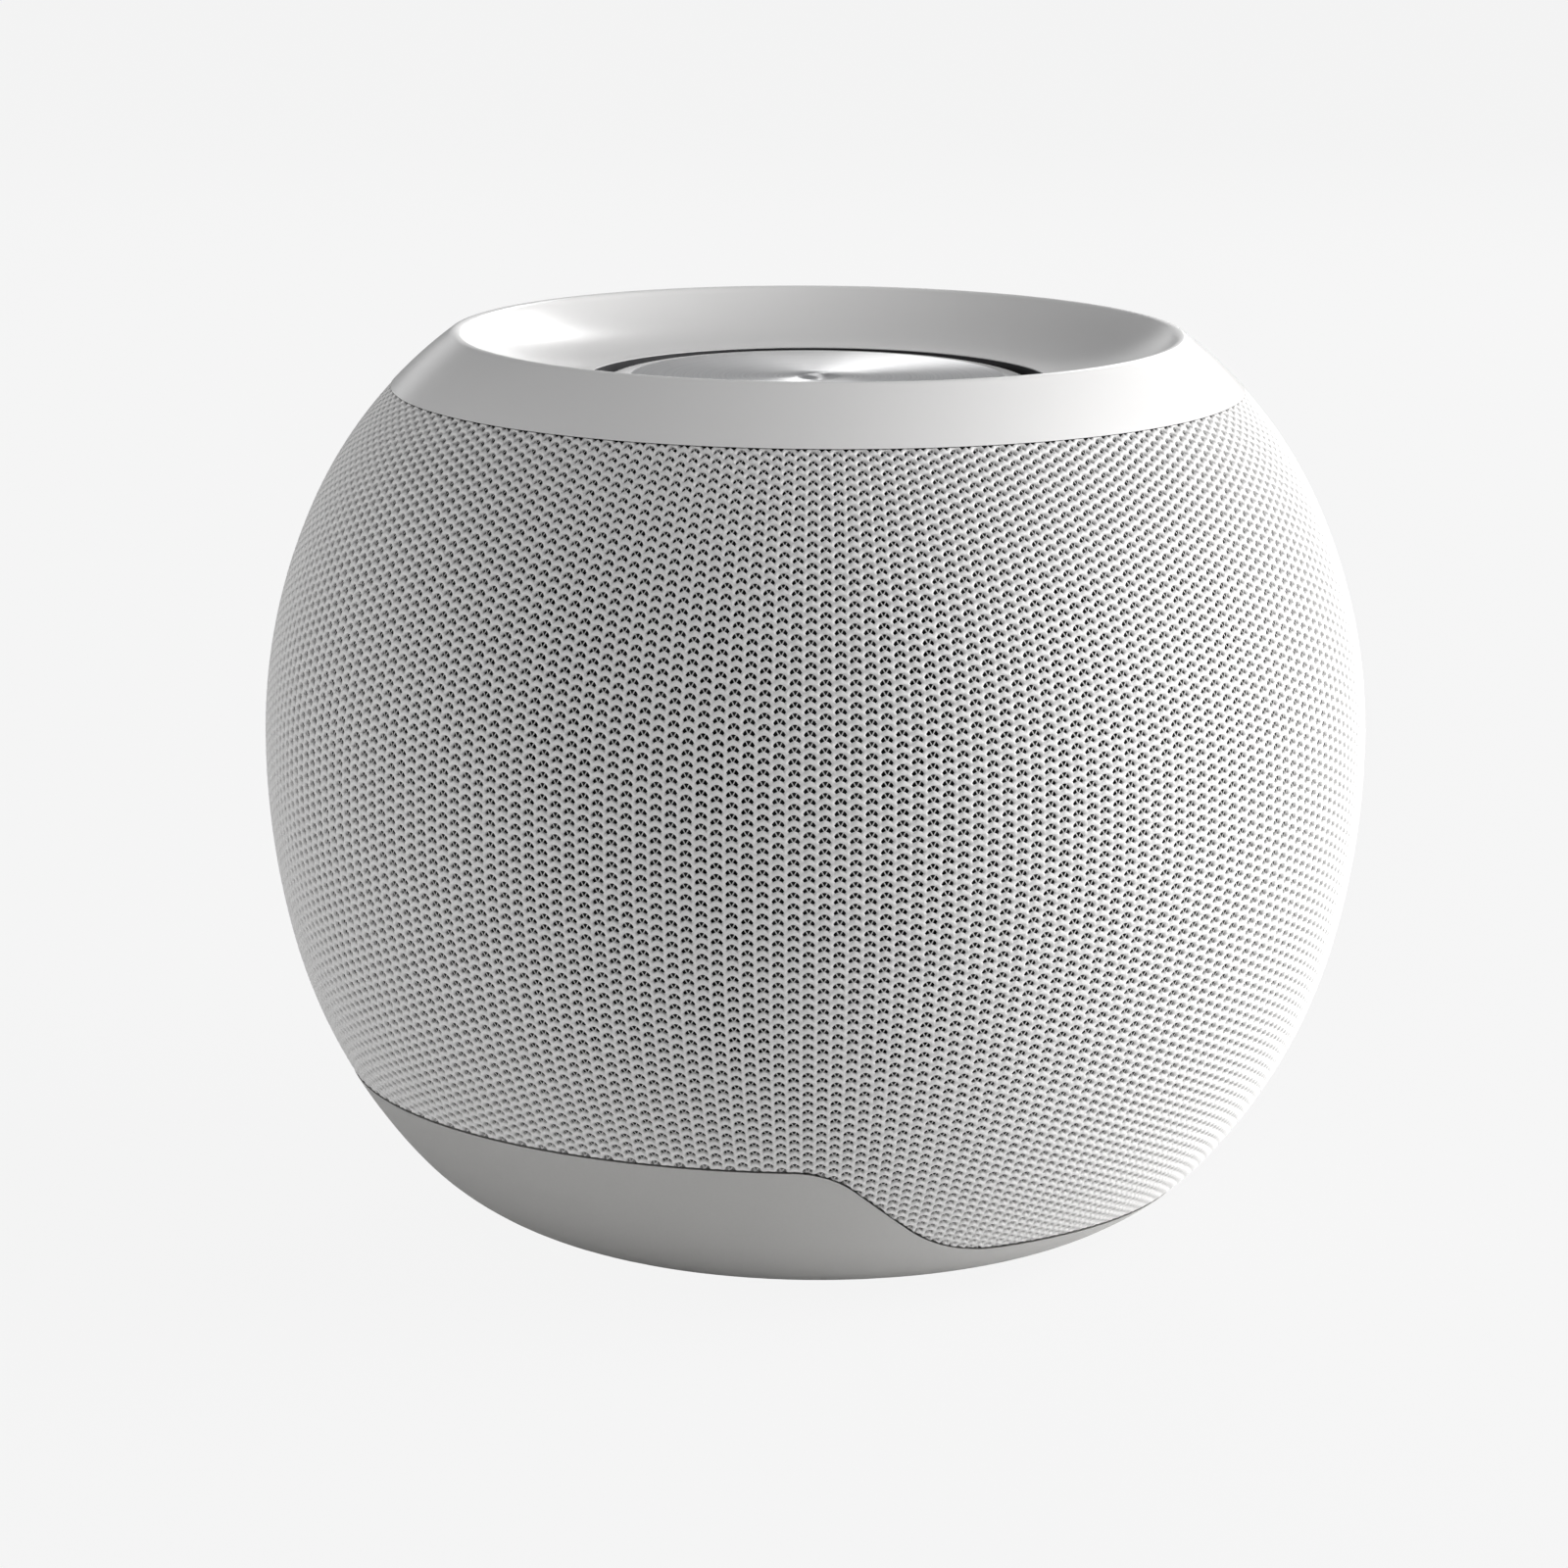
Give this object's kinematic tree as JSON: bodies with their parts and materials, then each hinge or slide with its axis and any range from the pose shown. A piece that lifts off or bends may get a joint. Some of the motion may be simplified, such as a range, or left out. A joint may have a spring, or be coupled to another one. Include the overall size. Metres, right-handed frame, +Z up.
{
  "type": "smart speaker",
  "caption": "Table-top speaker: a knit-covered pebble on a moulded base, with a glossy white bezel and a spun metal turn-and-press knob.",
  "frame": {"origin": "on the floor, under the centre of the body", "axes": "+Z up along the knob's axis; -Y is the front, where the fabric dips low; +Y is the back, with the power inlet and the two buttons"},
  "size_m": [0.1396, 0.1396, 0.1157],
  "materials": {
    "base_plastic": "satin moulded light grey",
    "black_rubber": "matte",
    "zinc_screw": "zinc plated",
    "raw_steel": "bare cold-rolled",
    "green_board": "solder mask",
    "tinned_steel": "tin plated",
    "black_plastic": "fine moulded texture",
    "heat_sink_metal": "black anodised",
    "nickel": "nickel plated",
    "grey_button": "satin",
    "grey_fabric": "knitted mesh",
    "white_gloss": "high gloss white",
    "spun_aluminium": "spun, clear anodised",
    "milky_plastic": "milky diffuser",
    "paper_cone": "coated paper pulp",
    "soft_rubber": "butyl rubber, matte",
    "ferrite": "ground ferrite",
    "copper_wire": "enamelled winding",
    "amber_film": "polyimide film",
    "spider_cloth": "resin-dipped cloth",
    "led_white": "moulded package"
  },
  "bodies": {
    "cabinet": {"base_shell": "base_plastic", "rubber_foot": "black_rubber", "base_screw_1": "zinc_screw", "base_screw_2": "zinc_screw", "base_screw_3": "zinc_screw", "base_screw_4": "zinc_screw", "ballast_ring": "raw_steel", "main_board": "green_board", "heat_sink": "heat_sink_metal", "shield_can": "tinned_steel", "antenna": "green_board", "power_socket": "nickel", "power_switch": "black_plastic", "mute_switch": "black_plastic", "acoustic_deflector": "black_plastic", "baffle": "black_plastic", "enclosure": "black_plastic", "driver_frame": "raw_steel", "top_plate": "raw_steel", "magnet": "ferrite", "yoke": "raw_steel", "driver_spider": "spider_cloth", "driver_surround": "soft_rubber", "right_radiator_frame": "black_plastic", "right_radiator_surround": "soft_rubber", "left_radiator_frame": "black_plastic", "left_radiator_surround": "soft_rubber", "grille_basket": "black_plastic", "fabric_sleeve": "grey_fabric", "fabric_ring": "black_plastic", "top_chassis": "black_plastic", "bezel": "white_gloss", "control_board": "green_board", "encoder_body": "tinned_steel", "light_ring": "milky_plastic", "led_1": "led_white", "led_2": "led_white", "led_3": "led_white", "led_4": "led_white", "microphone_1": "nickel", "microphone_2": "nickel", "ribbon_cable": "amber_film"},
    "knob": {"knob_cap": "spun_aluminium", "knob_carrier": "black_plastic", "encoder_shaft": "nickel"},
    "knob_plunger": {"encoder_plunger": "nickel"},
    "cone_assembly": {"driver_cone": "paper_cone", "dust_cap": "paper_cone", "coil_former": "amber_film", "voice_coil": "copper_wire"},
    "right_radiator": {"right_radiator_plate": "spun_aluminium"},
    "left_radiator": {"left_radiator_plate": "spun_aluminium"},
    "power_key": {"power_button": "grey_button"},
    "mute_key": {"mute_button": "grey_button"}
  },
  "joints": [
    {"name": "knob_press", "type": "slide", "parent": "cabinet", "child": "knob_plunger", "axis": [0, 0, -1], "range_m": [0, 0.0006], "stiffness_N_per_m": 4000, "springref_m": -0.0002},
    {"name": "knob_turn", "type": "hinge", "parent": "knob_plunger", "child": "knob", "pos_m": [0, 0, 0.1054], "axis": [0, 0, -1], "continuous": true},
    {"name": "cone_travel", "type": "slide", "parent": "cabinet", "child": "cone_assembly", "axis": [0, 0, -1], "range_m": [-0.003, 0.003], "stiffness_N_per_m": 1500, "deforming": ["driver_surround", "driver_spider"]},
    {"name": "right_radiator_travel", "type": "slide", "parent": "cabinet", "child": "right_radiator", "axis": [1, 0, 0], "range_m": [-0.003, 0.003], "stiffness_N_per_m": 800, "deforming": ["right_radiator_surround"]},
    {"name": "left_radiator_travel", "type": "slide", "parent": "cabinet", "child": "left_radiator", "axis": [-1, 0, 0], "range_m": [-0.003, 0.003], "stiffness_N_per_m": 800, "deforming": ["left_radiator_surround"]},
    {"name": "power_key_press", "type": "slide", "parent": "cabinet", "child": "power_key", "axis": [-0.5299, -0.848, 0], "range_m": [0, 0.0006], "stiffness_N_per_m": 1500},
    {"name": "mute_key_press", "type": "slide", "parent": "cabinet", "child": "mute_key", "axis": [-0.7431, -0.6691, 0], "range_m": [0, 0.0006], "stiffness_N_per_m": 1500}
  ]
}
